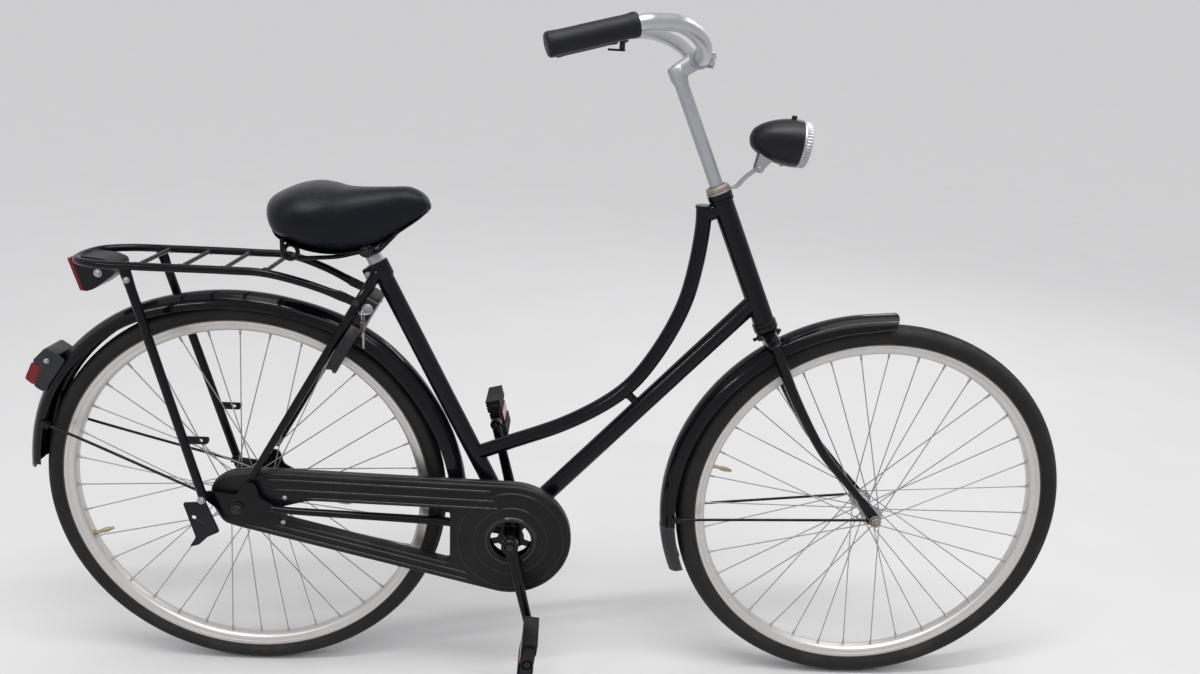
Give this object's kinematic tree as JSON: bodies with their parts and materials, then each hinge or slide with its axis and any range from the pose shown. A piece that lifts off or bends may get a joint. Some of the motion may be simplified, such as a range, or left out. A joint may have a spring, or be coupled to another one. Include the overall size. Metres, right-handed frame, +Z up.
{
  "type": "city bicycle",
  "caption": "Step-through city bicycle with a swan-neck frame, enclosed chain, luggage rack, mudguards, ring lock, lamps and a sprung saddle.",
  "frame": {"origin": "on the floor under the middle of the bicycle's length, in the plane of the frame", "axes": "+X forwards, +Y to the rider's left, +Z up; the chain is on the -Y side"},
  "size_m": [1.8238, 0.6108, 1.1774],
  "materials": {
    "frame_paint": "gloss black enamel, dusty and lightly scratched",
    "case_plastic": "satin black moulded plastic",
    "chain_steel": "oiled dark steel with brown film",
    "bright_steel": "dulled zinc-plated steel",
    "rusty_steel": "plated steel gone brown",
    "black_plastic": "satin black plastic",
    "grey_plastic": "matte dark grey plastic",
    "red_lens": "red prismatic lens",
    "clear_lens": "clear moulded lens",
    "tyre_rubber": "black tyre with dust in its tread",
    "rim_alloy": "satin alloy, slightly oxidised",
    "bar_chrome": "bright plating with rust specks",
    "grip_rubber": "moulded black rubber",
    "saddle_vinyl": "grained black vinyl"
  },
  "bodies": {
    "frame": {"head_tube": "frame_paint", "top_tube": "frame_paint", "down_tube": "frame_paint", "seat_tube": "frame_paint", "chain_stay_left": "frame_paint", "chain_stay_right": "frame_paint", "seat_stay_left": "frame_paint", "seat_stay_right": "frame_paint", "rear_guard_stay_left": "frame_paint", "rear_guard_stay_right": "frame_paint", "rack_leg_left": "frame_paint", "rack_leg_right": "frame_paint", "rear_axle": "bright_steel", "rear_mudguard": "frame_paint", "rack_platform": "frame_paint", "rack_reflector_housing": "black_plastic", "rack_reflector_lens": "red_lens", "tail_lamp_housing": "grey_plastic", "tail_lamp_lens": "red_lens", "lock_case": "black_plastic", "chain_case_outer": "case_plastic", "chain_case_inner": "case_plastic", "chain": "chain_steel", "strap_hook": "black_plastic"},
    "fork": {"fork": "frame_paint", "front_axle": "bright_steel", "front_mudguard": "frame_paint", "mudflap": "grey_plastic", "front_guard_stay_left": "frame_paint", "front_guard_stay_right": "frame_paint", "lamp_bracket": "bright_steel", "headset_locknut": "rusty_steel"},
    "cockpit": {"stem": "rim_alloy", "handlebar": "bar_chrome", "grip_left": "grip_rubber", "grip_right": "grip_rubber", "bell": "black_plastic"},
    "front_wheel": {"front_tyre": "tyre_rubber", "front_rim": "rim_alloy", "front_hub": "bright_steel"},
    "rear_wheel": {"rear_tyre": "tyre_rubber", "rear_rim": "rim_alloy", "rear_hub": "bright_steel"},
    "rear_cog": {"rear_sprocket": "chain_steel"},
    "crankset": {"chainring": "chain_steel", "crank_spindle": "bright_steel", "crank_left": "frame_paint", "crank_right": "frame_paint"},
    "left_pedal": {"pedal_left": "grip_rubber"},
    "right_pedal": {"pedal_right": "grip_rubber"},
    "headlamp": {"lamp_housing": "black_plastic", "lamp_lens": "clear_lens"},
    "lamp_switch": {"lamp_button": "black_plastic"},
    "bell_striker": {"bell_lever": "black_plastic"},
    "saddle": {"seat_post": "rim_alloy", "saddle_cushion": "saddle_vinyl", "saddle_frame": "bright_steel"},
    "shackle": {"lock_shackle": "bright_steel"},
    "key": {"lock_key": "bright_steel"},
    "loose_key": {"spare_key": "bright_steel"}
  },
  "joints": [
    {"name": "steering", "type": "hinge", "parent": "frame", "child": "fork", "pos_m": [0.5037, 0, 0.32225], "axis": [-0.4115, 0, 0.9114], "range_deg": [-80, 80]},
    {"name": "stem_height", "type": "slide", "parent": "fork", "child": "cockpit", "axis": [-0.4115, 0, 0.9114], "range_m": [-0.06, 0.03]},
    {"name": "bell_lever_pull", "type": "hinge", "parent": "cockpit", "child": "bell_striker", "pos_m": [0.08413, 0.26147, 1.12108], "axis": [0, 0, 1], "range_deg": [0, 20], "stiffness_Nm_per_rad": 0.05, "springref_deg": -5.73},
    {"name": "front_wheel_spin", "type": "hinge", "parent": "fork", "child": "front_wheel", "pos_m": [0.56294, 0, 0.349], "axis": [0, 1, 0], "continuous": true},
    {"name": "rear_wheel_spin", "type": "hinge", "parent": "frame", "child": "rear_wheel", "pos_m": [-0.54306, 0, 0.344], "axis": [0, 1, 0], "continuous": true},
    {"name": "crank_spin", "type": "hinge", "parent": "frame", "child": "crankset", "pos_m": [-0.08006, 0, 0.29], "axis": [0, 1, 0], "continuous": true},
    {"name": "rear_cog_spin", "type": "hinge", "parent": "frame", "child": "rear_cog", "pos_m": [-0.54306, 0, 0.344], "axis": [0, 1, 0], "continuous": true},
    {"name": "left_pedal_spin", "type": "hinge", "parent": "crankset", "child": "left_pedal", "pos_m": [-0.11888, 0, 0.45551], "axis": [0, 1, 0], "continuous": true},
    {"name": "right_pedal_spin", "type": "hinge", "parent": "crankset", "child": "right_pedal", "pos_m": [-0.04124, 0, 0.12449], "axis": [0, 1, 0], "continuous": true},
    {"name": "headlamp_tilt", "type": "hinge", "parent": "fork", "child": "headlamp", "pos_m": [0.29991, 0, 0.95001], "axis": [0, 1, 0], "range_deg": [-15, 15]},
    {"name": "lamp_switch_press", "type": "slide", "parent": "headlamp", "child": "lamp_switch", "axis": [-0.0872, 0, -0.9962], "range_m": [0, 0.0025], "stiffness_N_per_m": 400, "springref_m": -0.001},
    {"name": "saddle_height", "type": "slide", "parent": "frame", "child": "saddle", "axis": [-0.4399, 0, 0.898], "range_m": [-0.004, 0.05]},
    {"name": "shackle_close", "type": "hinge", "parent": "frame", "child": "shackle", "pos_m": [-0.36339, 0, 0.62604], "axis": [-0.8628, 0, 0.5056], "range_deg": [0, 75]},
    {"name": "key_turn", "type": "hinge", "parent": "frame", "child": "key", "pos_m": [-0.32243, -0.04, 0.69592], "axis": [0, 1, 0], "range_deg": [0, 90]},
    {"name": "spare_key_swing", "type": "hinge", "parent": "key", "child": "loose_key", "pos_m": [-0.32243, -0.063, 0.69592], "axis": [1, 0, 0], "range_deg": [-20, 20]}
  ],
  "couplings": [
    {"joint": "rear_cog_spin", "follows": "crank_spin", "ratio": 2.5882}
  ]
}
